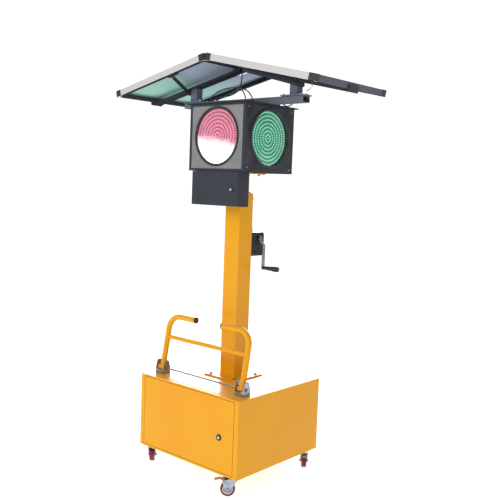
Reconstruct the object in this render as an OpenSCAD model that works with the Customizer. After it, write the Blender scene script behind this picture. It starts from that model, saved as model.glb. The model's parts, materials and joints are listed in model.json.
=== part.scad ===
// Portable traffic light: a battery cabinet on casters, a winch-lifted mast,
// a four-sided lamp head and two solar panels set as a gable.
// Origin: the floor under the middle of the cabinet. The door faces -Y.

/* [Cabinet] */
// Width of the cabinet across its door
cabinet_w = 760; // [720:10:820]
// Depth of the cabinet from door to back
cabinet_d = 700; // [680:10:760]
// Height of the cabinet body
cabinet_h = 420; // [380:10:480]
// Thickness of the folded sheet
sheet = 3; // [2:0.5:4]
// Width of the frame strip at each side of the door
door_side_strip = 30; // [24:1:40]
// Height of the frame strip above and below the door
door_end_strip = 10; // [8:1:20]
// Seam round the door
door_seam = 3; // [2.5:0.5:4]
// Depth of the folded door
door_depth = 20; // [16:1:24]
// Distance of the lock from the free edge of the door
lock_inset = 100; // [80:5:120]

/* [Casters] */
// Height from the floor to the underside of the cabinet
caster_h = 108; // [104:1:112]
// Wheel radius
wheel_r = 40; // [36:1:40]
// Wheel width
wheel_w = 30; // [26:1:30]
// Distance of the kingpins from the cabinet's sides
kingpin_side_inset = 58; // [56:1:70]
// Distance of the kingpins from the cabinet's front and back
kingpin_end_inset = 42; // [40:1:60]
// Distance from the kingpin to the axle
caster_trail = 28; // [26:1:30]

/* [Handle] */
// Distance of each upright from the middle
handle_half_w = 310; // [295:5:315]
// Height of the arms above the pivot rod
handle_arm_h = 304; // [290:1:310]
// Height of the crossbar above the pivot rod
handle_bar_h = 181; // [170:1:190]
// Radius of the main tube
handle_tube_r = 16.5; // [14:0.5:18]
// Radius of the crossbar
handle_bar_r = 12.5; // [10:0.5:14]
// Half of the gap between the two arms
handle_half_gap = 100; // [95:1:120]
// Lean of the handle towards the mast
handle_lean = 10; // [4:1:12]
// Height of the pivot rod above the cabinet
handle_pivot_h = 32; // [30:1:40]
// Distance of the pivot rod from the front of the cabinet
handle_inset = 100; // [90:1:104]

/* [Mast] */
// Distance of the mast behind the middle of the cabinet
mast_y = 20; // [10:1:30]
// Side of the outer mast tube
mast_side = 110; // [108:1:112]
// Top of the outer mast above the floor
mast_top_z = 1588; // [1580:1:1600]
// Side of the sliding inner mast tube
inner_side = 76; // [74:1:76]
// Lowest point of the inner mast above the floor
inner_bottom_z = 800; // [780:10:850]
// Side of the mast's foot plate
flange_side = 240; // [230:5:250]

/* [Lamp head] */
// Width and depth of the lamp head
head_w = 416; // [410:1:420]
// Underside of the lamp head above the floor
head_z = 1705; // [1700:1:1720]
// Height of the lamp head
head_h = 367; // [362:1:380]
// Radius of the clear lens
lens_r = 150; // [145:1:150]
// Overhang of the top cover
cover_lip = 18; // [10:1:25]

/* [Control box] */
// Width of the control box
control_w = 344; // [320:2:350]
// Height of the control box
control_h = 190; // [176:1:200]
// Depth of the control box with its door
control_d = 94; // [84:1:98]
// Depth of the control box's door
control_door_d = 40; // [34:1:46]

/* [Solar panels] */
// Length of a panel down its slope
panel_len = 740; // [720:5:760]
// Width of a panel
panel_w = 640; // [620:5:660]
// Depth of a panel's frame
panel_t = 35; // [34:1:40]
// Slope of each panel in degrees
panel_tilt = 12.5; // [12:0.5:14]
// Gap between the panels at the ridge
panel_gap = 22; // [20:1:30]
// Top of the ridge above the floor
ridge_z = 2322; // [2318:1:2340]
// Distance of each post from the mast
post_x = 375; // [365:5:385]

/* [Hidden] */
$fn = 64;

// Paint and metal colours
orange = [0.95, 0.66, 0.14];
black_paint = [0.14, 0.14, 0.17];
zinc = [0.72, 0.73, 0.75];

// Running clearance between a pin and its bore
run = 0.06;
// Gap between faces of parts that move on each other
slack = 0.3;

cabinet_z = caster_h;
top_z = cabinet_z + cabinet_h;
front_y = -cabinet_d / 2;

recess_x = cabinet_w / 2 - door_side_strip;
recess_low = cabinet_z + door_end_strip;
recess_high = top_z - door_end_strip;
door_x = recess_x - door_seam;
door_low = recess_low + door_seam;
door_high = recess_high - door_seam;
pivot_inset = 6;
pivot_r = 2.5;
lock_x = door_x - lock_inset;
lock_z = (door_low + door_high) / 2 - 12;
lock_r = 11;

kingpin_x = cabinet_w / 2 - kingpin_side_inset;
kingpin_y = cabinet_d / 2 - kingpin_end_inset;
// Each caster: its corner in X and Y, and the direction its wheel trails
front_right = [1, -1, 221];
front_left = [-1, -1, 131];
back_right = [1, 1, -49];
back_left = [-1, 1, 41];

mast_wall = 5;
foot_t = 8;
foot_bolt = flange_side / 2 - 28;
mast_back = mast_y + mast_side / 2;
inner_wall = 4;
rope_r = 2.5;
inner_rope_y = mast_y + inner_side / 2 + 6;
pulley_r = 26;
pulley_y = inner_rope_y + pulley_r;
pulley_z = mast_top_z - 20;
anchor_z = inner_bottom_z + 30;

gear_module = 2;
drum_teeth = 40;
pinion_teeth = 10;
drum_y = mast_back + 47;
drum_z = 1297;
shaft_y = drum_y + 40;
shaft_z = drum_z + 30;
drum_r = 27;
winch_half = 34;
cheek_t = 4;
crank_len = 170;

plate_side = 204;
plate_bolt = plate_side / 2 - 27;
plate_t = 10;
cover_t = 6;
cover_z = head_z + head_h;
lens_z = head_z + head_h / 2 + 5;
head_wall = 3;
panel_half_w = head_w / 2 - 18;
panel_half_h = head_h / 2 - 13;
screw_x = head_w / 2 - 30;
screw_z = head_h / 2 - 22;

control_x = control_w / 2;
control_z = head_z - control_h;
control_y = mast_y - head_w / 2 - 6;
control_back = control_y + control_d;
control_seam = control_y + control_door_d;
control_lock_x = 126;
control_lock_z = control_z + control_h / 2 - 3;

arm_half = 446;
arm_h = 35;
arm_w = 60;
arm_z = cover_z + cover_t;
post_side = 50;
post_plate_t = 6;
post_z = arm_z + arm_h + post_plate_t;
rail_w = 60;
rail_t = 14;
// Height of the rail's underside above the floor at a distance x from the ridge
function rail_under(x) = ridge_z - (x - panel_gap / 2) * tan(panel_tilt)
    - (panel_t + rail_t) / cos(panel_tilt);

// Routes of the three leads, first point to last
lead_r = 3.5;
left_lead = [[-80, 91, 2278], [-80, 92, 2262], [-82, 90, 2225], [-88, 78, 2182], [-100, 44, 2152],
    [-118, 8, 2136], [-134, -28, 2120], [-139, -50, 2109], [-128, -61, 2108], [-104, -62, 2116],
    [-76, -60, 2127], [-15, -60, 2145], [37, -60, 2158], [62, -60, 2151], [77, -60, 2134],
    [87, -60, 2114], [90, -60, 2092]];
loop_lead = [[-160, -90, 2092], [-159, -90, 2100], [-148, -90, 2114], [-122, -90, 2135],
    [-72, -90, 2155], [-4, -90, 2165], [71, -90, 2159], [123, -90, 2144], [152, -90, 2119],
    [162, -90, 2104], [164, -90, 2092]];
right_lead = [[704, -285, 2130], [703, -282, 2122], [672, -240, 2114], [620, -180, 2115],
    [527, -80, 2123], [460, 0, 2133], [425, 50, 2135], [395, 72, 2124], [360, 77, 2106],
    [317, 80, 2088], [285, 85, 2075], [258, 90, 2073], [238, 93, 2082], [218, 95, 2098],
    [202, 96, 2107], [196, 96, 2103], [196, 96, 2092]];

// ---- Shared shapes ----

module span(low, high) {
    translate(low) cube(high - low);
}

module rod_x(r, x0, x1) {
    translate([x0, 0, 0]) rotate([0, 90, 0]) cylinder(r = r, h = x1 - x0);
}

module rod_y(r, y0, y1) {
    translate([0, y0, 0]) rotate([-90, 0, 0]) cylinder(r = r, h = y1 - y0);
}

module square_tube(side, wall, low, high) {
    difference() {
        span([-side / 2, -side / 2, low], [side / 2, side / 2, high]);
        span([wall - side / 2, wall - side / 2, low - 1],
            [side / 2 - wall, side / 2 - wall, high + 1]);
    }
}

// A hexagon head, washer below it
module hex_head(r, h) {
    cylinder(r = r * 1.25, h = 1.5);
    translate([0, 0, 1.5]) cylinder(r = r, h = h, $fn = 6);
}

module both_sides() {
    children();
    mirror([1, 0, 0]) children();
}

module four_corners(x, y) {
    for (sx = [-1, 1], sy = [-1, 1])
        translate([sx * x, sy * y, 0]) children();
}

// A round bar from point a to point b
module bar(a, b, r) {
    run_v = b - a;
    len = norm(run_v);
    turn = atan2(run_v[1], run_v[0]);
    drop = acos(run_v[2] / len);
    translate(a) rotate([0, drop, turn]) cylinder(r = r, h = len);
}

// A ring in the XZ plane's outline: outer half sizes less inner half sizes
module plate_ring(outer, inner, mid_z, y0, y1) {
    difference() {
        span([-outer[0], y0, mid_z - outer[1]], [outer[0], y1, mid_z + outer[1]]);
        span([-inner[0], y0 - 1, mid_z - inner[1]], [inner[0], y1 + 1, mid_z + inner[1]]);
    }
}

// ---- Leads: one tube swept along a list of points ----

lead_sides = 8;

function unit(v) = v / norm(v);

function lead_direction(p, i) =
    let (last = len(p) - 1)
    unit(p[min(i + 1, last)] - p[max(i - 1, 0)]);

function side_of(d, side) = unit(side - (side * d) * d);

function lead_frames(p, i = 0, side = [0, 1, 0.3]) =
    i >= len(p) ? [] :
    let (d = lead_direction(p, i), s = side_of(d, side))
    concat([[p[i], s, cross(d, s)]], lead_frames(p, i + 1, s));

// Three points between each pair, on a smooth curve through them all
function curve_point(a, b, c, d, t) =
    0.5 * (2 * b + (c - a) * t + (2 * a - 5 * b + 4 * c - d) * t * t
        + (3 * b - a - 3 * c + d) * t * t * t);

function smooth_route(p, steps = 2) =
    let (last = len(p) - 1)
    concat([for (i = [0 : last - 1], k = [0 : steps - 1])
        curve_point(p[max(i - 1, 0)], p[i], p[i + 1], p[min(i + 2, last)], k / steps)],
        [p[last]]);

module swept_lead(points, r) {
    frames = lead_frames(smooth_route(points));
    rings = len(frames);
    corners = [for (f = frames, k = [0 : lead_sides - 1])
        f[0] + r * (cos(k * 360 / lead_sides) * f[1] + sin(k * 360 / lead_sides) * f[2])];
    walls = [for (i = [0 : rings - 2], k = [0 : lead_sides - 1])
        let (n = (k + 1) % lead_sides)
        [i * lead_sides + n, i * lead_sides + k,
            (i + 1) * lead_sides + k, (i + 1) * lead_sides + n]];
    start_cap = [[for (k = [0 : lead_sides - 1]) k]];
    end_cap = [[for (k = [0 : lead_sides - 1]) rings * lead_sides - 1 - k]];
    polyhedron(points = corners, faces = concat(walls, start_cap, end_cap));
}

// ---- Cabinet ----

module cabinet_shell() color(orange) {
    half_w = cabinet_w / 2;
    recess_mid = (recess_low + recess_high) / 2;
    recess_half_h = (recess_high - recess_low) / 2;
    return_y = front_y + door_depth + sheet + 2;
    door_lip = 16;
    difference() {
        span([-half_w, front_y, cabinet_z], [half_w, cabinet_d / 2, top_z]);
        span([sheet - half_w, front_y + sheet, cabinet_z + sheet],
            [half_w - sheet, cabinet_d / 2 - sheet, top_z - sheet]);
        span([-recess_x, front_y - 1, recess_low], [recess_x, front_y + sheet + 1, recess_high]);
        translate([0, mast_y, top_z - 10]) cylinder(r = 25, h = 20);
        translate([0, mast_y, top_z - 10]) four_corners(foot_bolt, foot_bolt)
            cylinder(r = 5.2, h = 20);
    }
    difference() {
        union() {
            plate_ring([recess_x + sheet, recess_half_h + sheet], [recess_x, recess_half_h],
                recess_mid, front_y, return_y);
            plate_ring([recess_x + sheet, recess_half_h + sheet],
                [recess_x - door_lip, recess_half_h - door_lip],
                recess_mid, return_y - sheet, return_y);
        }
        translate([pivot_inset - door_x, front_y + pivot_inset, cabinet_z])
            cylinder(r = pivot_r, h = cabinet_h);
    }
}

module door_pivots() color(zinc) {
    translate([pivot_inset - door_x, front_y + pivot_inset, 0]) {
        translate([0, 0, recess_low - sheet]) cylinder(r = pivot_r, h = sheet + door_seam + 8);
        translate([0, 0, door_high - 8]) cylinder(r = pivot_r, h = sheet + door_seam + 8);
    }
}

module cabinet_door() color(orange) {
    difference() {
        span([-door_x, front_y, door_low], [door_x, front_y + door_depth, door_high]);
        span([sheet - door_x, front_y + sheet, door_low + sheet],
            [door_x - sheet, front_y + door_depth + 1, door_high - sheet]);
        translate([pivot_inset - door_x, front_y + pivot_inset, door_low - 1])
            cylinder(r = pivot_r + run, h = cabinet_h);
        translate([lock_x, 0, lock_z]) rod_y(lock_r + run, front_y - 1, front_y + door_depth);
    }
}

// A round cam lock: face, barrel and a cam that hangs down when it is open
module cam_lock(r, depth, cam_len) {
    difference() {
        union() {
            rod_y(r + 4, -3, 0);
            rod_y(r, 0, depth);
        }
        span([-1.5, -4, -r * 0.55], [1.5, -1, r * 0.55]);
    }
    span([-9, depth, 9 - cam_len], [9, depth + 3, 9]);
}

module cabinet_lock() color([0.2, 0.2, 0.22]) {
    translate([lock_x, front_y - slack, lock_z]) cam_lock(lock_r, door_depth + 12, 122);
}

module batteries() color([0.2, 0.2, 0.2]) {
    length = 330;
    width = 172;
    height = 215;
    for (side = [-1, 1]) translate([side * 190, 60, cabinet_z + sheet]) {
        span([-width / 2, -length / 2, 0], [width / 2, length / 2, height]);
        for (post = [-1, 1]) translate([post * 60, -length / 2 + 30, height])
            cylinder(r = 9, h = 18);
    }
}

// ---- Casters ----

module at_caster(spec) {
    translate([spec[0] * kingpin_x, spec[1] * kingpin_y, 0]) rotate([0, 0, spec[2]]) children();
}

race_z = caster_h - 9;
fork_half = wheel_w / 2 + 3;
axle_r = 5;
pedal_x = caster_trail + 22;
pedal_z = wheel_r * 2 + 6;

module caster_plates() color(zinc) {
    for (spec = [front_right, front_left, back_right, back_left])
        translate([spec[0] * kingpin_x, spec[1] * kingpin_y, 0]) {
            difference() {
                union() {
                    span([-46, -34, caster_h - 4], [46, 34, caster_h]);
                    translate([0, 0, race_z]) cylinder(r = 24, h = 6);
                }
                translate([0, 0, race_z - 1]) cylinder(r = 6 + run, h = 20);
            }
            four_corners(37, 25) translate([0, 0, caster_h - 4]) mirror([0, 0, 1]) hex_head(6, 5);
        }
}

module fork(spec) color(zinc) at_caster(spec) {
    leg = [[-20, race_z - 6], [-20, race_z - 12], [caster_trail - 16, wheel_r - 2],
        [caster_trail - 8, wheel_r - 11], [caster_trail + 8, wheel_r - 11],
        [caster_trail + 14, wheel_r], [pedal_x + 8, pedal_z - 4], [pedal_x + 6, race_z - 6]];
    difference() {
        union() {
            span([-20, -fork_half - 3, race_z - 6], [26, fork_half + 3, race_z - 3]);
            translate([0, 0, race_z - 3]) cylinder(r = 22, h = 3 - slack);
            for (side = [-1, 1]) translate([0, side * (fork_half + 1.5) + 1.5, 0])
                rotate([90, 0, 0]) linear_extrude(3) polygon(leg);
        }
        translate([caster_trail, 0, wheel_r]) rod_y(axle_r + 0.2, -40, 40);
        translate([pedal_x, 0, pedal_z]) rod_y(3 + run, -40, 40);
    }
    translate([0, 0, race_z - 6]) cylinder(r = 6, h = 13);
    translate([caster_trail, 0, wheel_r]) {
        rod_y(axle_r, -fork_half - 6, fork_half + 6);
        for (side = [0, 1]) mirror([0, side, 0]) translate([0, -fork_half - 3.3, 0])
            rotate([90, 0, 0]) cylinder(r = 9, h = 6, $fn = 6);
    }
}

module wheel(spec) at_caster(spec) translate([caster_trail, 0, wheel_r]) rotate([90, 0, 0]) {
    half = wheel_w / 2;
    tread_t = 10;
    color([0.5, 0.09, 0.09]) rotate_extrude() polygon([
        [wheel_r - tread_t, -half], [wheel_r - 4, -half], [wheel_r - 1, 3 - half],
        [wheel_r, 7 - half], [wheel_r, half - 7], [wheel_r - 1, half - 3],
        [wheel_r - 4, half], [wheel_r - tread_t, half]]);
    color([0.75, 0.75, 0.76]) rotate_extrude() polygon([
        [axle_r + run, -half - 1], [12, -half - 1], [12, -5], [22, -4], [22, 2 - half],
        [wheel_r - tread_t - 0.1, 2 - half], [wheel_r - tread_t - 0.1, half - 2], [22, half - 2],
        [22, 4], [12, 5], [12, half + 1], [axle_r + run, half + 1]]);
}

module pedal(spec) color(zinc) at_caster(spec) translate([pedal_x, 0, pedal_z]) {
    rod_y(3, -fork_half - 5, fork_half + 5);
    rod_y(6, slack - fork_half, fork_half - slack);
    tread = [[0, 0], [20, 6], [46, 1], [50, -6], [52, -5], [49, 4], [21, 10], [0, 5]];
    translate([0, 14, 0]) rotate([90, 0, 0]) linear_extrude(28) polygon(tread);
}

// ---- Handle ----

handle_y = front_y + handle_inset;
pivot_z = top_z + handle_pivot_h;
rod_r = 5;
ear_gap = 28;

module handle_brackets() color(zinc) both_sides() translate([handle_half_w, handle_y, top_z]) {
    top = handle_pivot_h + 44;
    ear = [[-28, 0], [28, 0], [28, handle_pivot_h], [17, top - 6], [8, top], [-8, top],
        [-17, top - 6], [-28, handle_pivot_h]];
    for (side = [-1, 1]) translate([side * (ear_gap + 2) - 2, 0, 0]) difference() {
        rotate([90, 0, 90]) linear_extrude(4) polygon(ear);
        translate([0, 0, handle_pivot_h]) rod_x(rod_r, -1, 5);
    }
    span([-ear_gap - 4, -28, 0], [ear_gap + 4, 28, 4]);
    span([-ear_gap - 4, -28, 0], [ear_gap + 4, -24.5, handle_pivot_h - 10]);
    for (y = [-14, 14]) translate([0, y, 4]) hex_head(6, 4);
}

module handle_rod() color(zinc) translate([0, handle_y, pivot_z]) {
    end = handle_half_w + ear_gap + 14;
    rod_x(rod_r, -end, end);
    both_sides() translate([handle_half_w + ear_gap + 4.2, 0, 0]) rotate([0, 90, 0]) difference() {
        cylinder(r = 10.5, h = 8, $fn = 6);
        translate([0, 0, -1]) cylinder(r = rod_r, h = 10);
    }
}

module in_handle() {
    translate([0, handle_y, pivot_z]) rotate([-handle_lean, 0, 0]) children();
}

module handle_frame() color(orange) in_handle() {
    bend_r = 75;
    inner_r = handle_tube_r - 2.5;
    difference() {
        union() {
            both_sides() {
                translate([handle_half_w, 0, 8]) cylinder(r = handle_tube_r,
                    h = handle_arm_h - bend_r - 8);
                translate([handle_half_w - bend_r, 0, handle_arm_h - bend_r]) rotate([90, 0, 0])
                    rotate_extrude(angle = 90) translate([bend_r, 0]) circle(r = handle_tube_r);
                translate([0, 0, handle_arm_h])
                    rod_x(handle_tube_r, handle_half_gap + 6, handle_half_w - bend_r);
                rod_x(handle_tube_r, handle_half_w - 25, handle_half_w + 25);
            }
            translate([0, 0, handle_bar_h]) rod_x(handle_bar_r, -handle_half_w, handle_half_w);
        }
        both_sides() {
            rod_x(rod_r + run, handle_half_w - 30, handle_half_w + 30);
            translate([0, 0, handle_arm_h])
                rod_x(inner_r, handle_half_gap, handle_half_w - bend_r);
        }
    }
}

module handle_caps() color([0.15, 0.15, 0.15]) in_handle() both_sides()
    translate([0, 0, handle_arm_h]) {
        rod_x(handle_tube_r + 1, handle_half_gap, handle_half_gap + 6);
        rod_x(handle_tube_r - 2.5, handle_half_gap + 6, handle_half_gap + 26);
    }

// ---- Mast ----

module on_mast() {
    translate([0, mast_y, 0]) children();
}

module mast_foot() color(orange) on_mast() {
    difference() {
        span([-flange_side / 2, -flange_side / 2, top_z],
            [flange_side / 2, flange_side / 2, top_z + foot_t]);
        translate([0, 0, top_z - 1]) cylinder(r = 25, h = 20);
        translate([0, 0, top_z - 1]) four_corners(foot_bolt, foot_bolt)
            cylinder(r = 5.2, h = 20);
    }
}

module mast_bolts() color(zinc) on_mast() four_corners(foot_bolt, foot_bolt) {
    translate([0, 0, top_z - sheet - 10]) cylinder(r = 5, h = foot_t + sheet + 12);
    translate([0, 0, top_z + foot_t]) hex_head(9, 7);
    translate([0, 0, top_z - sheet]) mirror([0, 0, 1]) hex_head(9, 8);
}

module mast_outer() color(orange) difference() {
    on_mast() square_tube(mast_side, mast_wall, top_z + foot_t, mast_top_z);
    span([-9, mast_back - mast_wall - 1, pulley_z - pulley_r - 10],
        [9, mast_back + 1, mast_top_z + 1]);
}

module mast_guide() color([0.9, 0.9, 0.86]) difference() {
    on_mast() difference() {
        span([mast_wall - mast_side / 2, mast_wall - mast_side / 2, mast_top_z - 60],
            [mast_side / 2 - mast_wall, mast_side / 2 - mast_wall, mast_top_z - 1]);
        span([-inner_side / 2 - slack, -inner_side / 2 - slack, mast_top_z - 70],
            [inner_side / 2 + slack, inner_side / 2 + slack, mast_top_z]);
    }
    span([-9, mast_y, mast_top_z - 80], [9, mast_back, mast_top_z + 1]);
}

module pulley_bracket() color(zinc) {
    reach = pulley_y + 12;
    for (side = [-1, 1]) translate([side * 15 - 2, 0, 0])
        difference() {
            union() {
                span([0, mast_back, pulley_z - 32], [4, reach, pulley_z + 12]);
                translate([0, reach - 2, pulley_z - 10]) rod_x(22, 0, 4);
            }
            translate([0, pulley_y, pulley_z]) rod_x(5, -1, 5);
        }
    for (side = [-1, 1]) translate([side * 25, 0, 0])
        span([-8, mast_back, pulley_z - 32], [8, mast_back + 4, pulley_z + 12]);
    for (side = [-1, 1]) translate([side * 26, mast_back + 4, pulley_z - 10])
        rotate([-90, 0, 0]) hex_head(5, 4);
    translate([0, pulley_y, pulley_z]) {
        rod_x(5, -20, 20);
        for (side = [0, 1]) mirror([side, 0, 0]) rod_x(8, 17.2, 21);
    }
}

module rope_pulley() color([0.3, 0.3, 0.32]) translate([0, pulley_y, pulley_z]) rotate([0, 90, 0])
    rotate_extrude() polygon([[5 + run, -7], [pulley_r + 2, -7], [pulley_r + 2, -5],
        [pulley_r - rope_r - slack, -rope_r - 1], [pulley_r - rope_r - slack, rope_r + 1],
        [pulley_r + 2, 5], [pulley_r + 2, 7], [5 + run, 7]]);

// The straight outer run touches the drum and the pulley on their back sides
rope_span = [pulley_y - drum_y, pulley_z - drum_z];
rope_tilt = atan2(rope_span[1], rope_span[0])
    - acos((drum_r - pulley_r) / norm(rope_span));

module lift_rope() color([0.6, 0.6, 0.6]) {
    normal = [0, cos(rope_tilt), sin(rope_tilt)];
    low = [0, drum_y, drum_z] + drum_r * normal;
    high = [0, pulley_y, pulley_z] + pulley_r * normal;
    bar(low, high, rope_r);
    translate([0, pulley_y, pulley_z]) rotate([90, 0, 90]) rotate([0, 0, rope_tilt])
        rotate_extrude(angle = 180 - rope_tilt) translate([pulley_r, 0]) circle(r = rope_r);
}

module inner_rope() color([0.6, 0.6, 0.6])
    translate([0, inner_rope_y, anchor_z]) cylinder(r = rope_r, h = pulley_z - anchor_z);

// ---- Winch ----

module winch_frame() color([0.35, 0.35, 0.37]) {
    low = drum_z - 56;
    high = shaft_z + 24;
    reach = shaft_y + 14;
    difference() {
        union() {
            span([-winch_half, mast_back, low], [winch_half, mast_back + 4, high]);
            for (side = [-1, 1]) translate([side * (winch_half - cheek_t / 2) - cheek_t / 2, 0, 0])
                span([0, mast_back, low], [cheek_t, reach, high]);
        }
        translate([0, shaft_y, shaft_z]) rod_x(8 + run, -60, 60);
        translate([0, drum_y, drum_z]) rod_x(8, -60, 60);
    }
    translate([0, drum_y, drum_z]) rod_x(8, -winch_half, winch_half);
    for (x = [-16, 16], z = [low + 14, high - 14]) translate([x, mast_back + 4, z])
        rotate([-90, 0, 0]) hex_head(6, 5);
}

cover_low = drum_z - 72;
cover_high = shaft_z + 35;
cover_reach = shaft_y + 43;

// The winch cover's side outline in the YZ plane, set in by the wall
module cover_outline(inset) {
    r = 22;
    corner = [cover_reach - r, cover_low + r];
    polygon(concat([[mast_back - (inset > 0 ? 1 : 0), cover_high - inset],
        [mast_back - (inset > 0 ? 1 : 0), cover_low + inset]],
        [for (a = [-90 : 15 : 0]) corner + (r - inset) * [cos(a), sin(a)]],
        [[cover_reach - inset, cover_high - 12], [cover_reach - 12, cover_high - inset]]));
}

module winch_cover() color([0.1, 0.1, 0.11]) {
    half = winch_half + 4;
    wall = 2.5;
    difference() {
        translate([-half, 0, 0]) rotate([90, 0, 90]) linear_extrude(2 * half) cover_outline(0);
        translate([wall - half, 0, 0]) rotate([90, 0, 90])
            linear_extrude(2 * (half - wall)) cover_outline(wall);
        span([-10, drum_y + 4, cover_high - 4], [10, drum_y + 32, cover_high + 1]);
        translate([0, shaft_y, shaft_z]) rod_x(11, 0, 60);
    }
    translate([half, drum_y + 12, cover_low + 22]) rotate([0, 90, 0]) hex_head(7, 4);
}

function tooth_point(r, width, middle, side) =
    let (a = middle + side * asin(width / 2 / r))
    [r * cos(a), r * sin(a)];

// A spur gear's outline: each tooth has a root, a flank and a tip
module gear_outline(teeth) {
    pitch_r = gear_module * teeth / 2;
    polygon([for (i = [0 : teeth - 1]) let (middle = 360 * i / teeth) each [
        tooth_point(pitch_r - 2.4, 3.4, middle, -1), tooth_point(pitch_r, 2.4, middle, -1),
        tooth_point(pitch_r + 1.5, 1.2, middle, -1), tooth_point(pitch_r + 1.5, 1.2, middle, 1),
        tooth_point(pitch_r, 2.4, middle, 1), tooth_point(pitch_r - 2.4, 3.4, middle, 1)]]);
}

gear_width = 10;
arm_x = winch_half + 8;
arm_t = 6;
// How far the arm steps out from its hub
arm_step = 30;
gear_x = winch_half - cheek_t - gear_width - 2;
// Direction from the drum's centre to the crank shaft's, in the YZ plane
mesh_angle = atan2(shaft_z - drum_z, shaft_y - drum_y);

// Places an outline that faces +X with its first tooth towards the angle
module gear_blank(teeth, angle, width) {
    rotate([90, 0, 90]) rotate([0, 0, angle]) linear_extrude(width) gear_outline(teeth);
}

module winch_drum() color([0.6, 0.6, 0.62]) translate([0, drum_y, drum_z]) difference() {
    union() {
        translate([gear_x, 0, 0]) gear_blank(drum_teeth, mesh_angle, gear_width);
        rod_x(drum_r - rope_r - slack, -winch_half + cheek_t + 2, gear_x);
        translate([-winch_half + cheek_t + 2, 0, 0]) rod_x(36, 0, 3);
        translate([gear_x - 3, 0, 0]) rod_x(36, 0, 3.1);
    }
    rod_x(8 + run, -60, 60);
}

module crank_shaft() color(zinc) translate([0, shaft_y, shaft_z]) {
    rod_x(8, -winch_half - 1, arm_x + 6);
    translate([gear_x, 0, 0]) gear_blank(pinion_teeth, mesh_angle + 180 + 180 / pinion_teeth,
        gear_width);
    rod_x(10, winch_half + 0.5, arm_x);
}

module crank_arm() color([0.62, 0.62, 0.64]) translate([arm_x, shaft_y, shaft_z]) {
    out = arm_step + arm_t;
    strip = [[0, 0], [arm_t, 0], [arm_t, -12], [out, -38], [out, -crank_len],
        [arm_step, -crank_len], [arm_step, -41], [0, -15]];
    difference() {
        union() {
            translate([0, 12, 0]) rotate([90, 0, 0]) linear_extrude(24) polygon(strip);
            rod_x(15, 0, arm_t);
            translate([0, 0, -crank_len]) rod_x(12, arm_step, out);
        }
        rod_x(8, -1, 7);
    }
    translate([arm_t, 0, 0]) rotate([0, 90, 0]) cylinder(r = 11, h = 5, $fn = 6);
    translate([0, 0, -crank_len]) rod_x(5, out, out + 116);
}

module crank_grip() color([0.08, 0.08, 0.08])
    translate([arm_x + arm_step + arm_t + slack, shaft_y, shaft_z - crank_len]) rotate([0, 90, 0])
        rotate_extrude() polygon([[5 + run, 0], [9, 0], [10, 4], [12, 40], [15, 76],
            [16, 98], [14, 110], [9, 114], [5 + run, 114]]);

// ---- Sliding mast and lamp head ----

module mast_inner() color(orange) difference() {
    on_mast() square_tube(inner_side, inner_wall, inner_bottom_z, head_z - plate_t);
}

module slide_pads() color([0.9, 0.9, 0.86]) difference() {
    on_mast() {
        outer = mast_side / 2 - mast_wall - slack;
        difference() {
            span([-outer, -outer, inner_bottom_z], [outer, outer, inner_bottom_z + 50]);
            span([-inner_side / 2, -inner_side / 2, inner_bottom_z - 1],
                [inner_side / 2, inner_side / 2, inner_bottom_z + 60]);
        }
    }
    span([-6, mast_y, anchor_z], [6, mast_back, anchor_z + 60]);
}

module head_plate() color(orange) on_mast() difference() {
    span([-plate_side / 2, -plate_side / 2, head_z - plate_t],
        [plate_side / 2, plate_side / 2, head_z]);
    translate([0, 0, head_z - 20]) cylinder(r = 22, h = 40);
    translate([0, 0, head_z - 20]) four_corners(plate_bolt, plate_bolt) cylinder(r = 5.2, h = 40);
}

// Places children on the lamp head's faces: 0 front, 1 right, 2 back, 3 left
module on_face(faces) {
    for (k = faces) translate([0, mast_y, lens_z]) rotate([0, 0, 90 * k])
        translate([0, -head_w / 2, 0]) children();
}

module on_lens(faces) {
    on_face(faces) rotate([90, 0, 0]) children();
}

ring_r = lens_r + 13.5;
face_low = head_z - lens_z;
panel_mid = head_z + head_h / 2 - lens_z;

module head_housing() color(black_paint) difference() {
    half = head_w / 2;
    on_mast() span([-half, -half, head_z], [half, half, cover_z]);
    on_mast() span([head_wall - half, head_wall - half, head_z + head_wall],
        [half - head_wall, half - head_wall, cover_z + 1]);
    on_face([0 : 3]) span([-panel_half_w, -1, panel_mid - panel_half_h],
        [panel_half_w, head_wall + 1, panel_mid + panel_half_h]);
    on_mast() translate([0, 0, head_z - 20]) cylinder(r = 22, h = 40);
    on_mast() translate([0, 0, head_z - 20]) four_corners(plate_bolt, plate_bolt) cylinder(r = 5.2, h = 40);
}

// Each lamp panel is a flat plate with a rim behind the housing's frame
module lamp_panels() color(black_paint) on_face([0 : 3]) difference() {
    union() {
        span([0.5 - panel_half_w, 0.8, panel_mid - panel_half_h + 0.5],
            [panel_half_w - 0.5, head_wall, panel_mid + panel_half_h - 0.5]);
        span([-panel_half_w - 8, head_wall, panel_mid - panel_half_h - 6],
            [panel_half_w + 8, head_wall + 3, panel_mid + panel_half_h + 6]);
    }
    rotate([90, 0, 0]) translate([0, 0, -20]) cylinder(r = ring_r, h = 40);
}

module lens_rings() color([0.06, 0.06, 0.07]) on_lens([0 : 3]) rotate_extrude() polygon([
    [ring_r, -14], [ring_r, 2], [ring_r - 2, 5], [lens_r + 3, 5], [lens_r, 2],
    [lens_r, -1], [lens_r + 2, -1], [lens_r + 2, -14]]);

lens_rise = 20;
dome_r = (lens_r * lens_r + lens_rise * lens_rise) / (2 * lens_rise);

// Height of a dome's surface at a radius, for a dome that ends level at the lens's rim
function dome_height(r) = sqrt(dome_r * dome_r - r * r) - (dome_r - lens_rise);

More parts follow.
